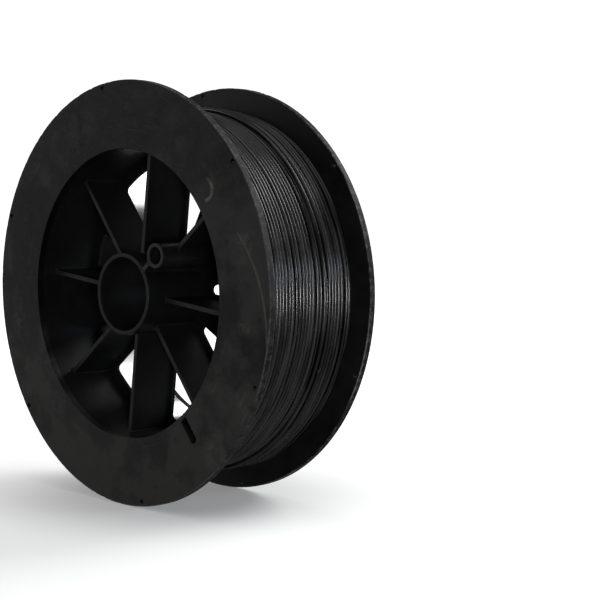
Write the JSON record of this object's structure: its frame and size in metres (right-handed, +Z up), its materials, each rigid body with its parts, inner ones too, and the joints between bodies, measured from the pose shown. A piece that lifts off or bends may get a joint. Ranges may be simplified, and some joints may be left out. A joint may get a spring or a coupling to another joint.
{
  "type": "filament spool",
  "caption": "Wide plastic spool with ring flanges, a ribbed hub with a centre bore, a windowed web and dark filament wound on its drum.",
  "frame": {"origin": "on the spool's axis, half-way between the two flanges", "axes": "+Y along the axis from the hub side to the open far side, +Z up with the spool standing on its rims, +X to the right seen from the hub side"},
  "size_m": [0.3, 0.1, 0.3],
  "materials": {
    "flange_plastic": "matt moulded plastic, scuffed, with worn rims",
    "core_plastic": "matt moulded plastic",
    "filament": "satin extruded plastic strand"
  },
  "bodies": {
    "root": {"near_flange": "flange_plastic", "far_flange": "flange_plastic", "near_drum_half": "core_plastic", "far_drum_half": "core_plastic", "hub_tube": "core_plastic", "radial_ribs": "core_plastic", "drive_boss": "core_plastic", "boss_link_rib": "core_plastic", "web_inner_ring": "core_plastic", "web_panels": "core_plastic", "web_outer_ring": "core_plastic", "filament_winding": "filament"}
  },
  "joints": []
}
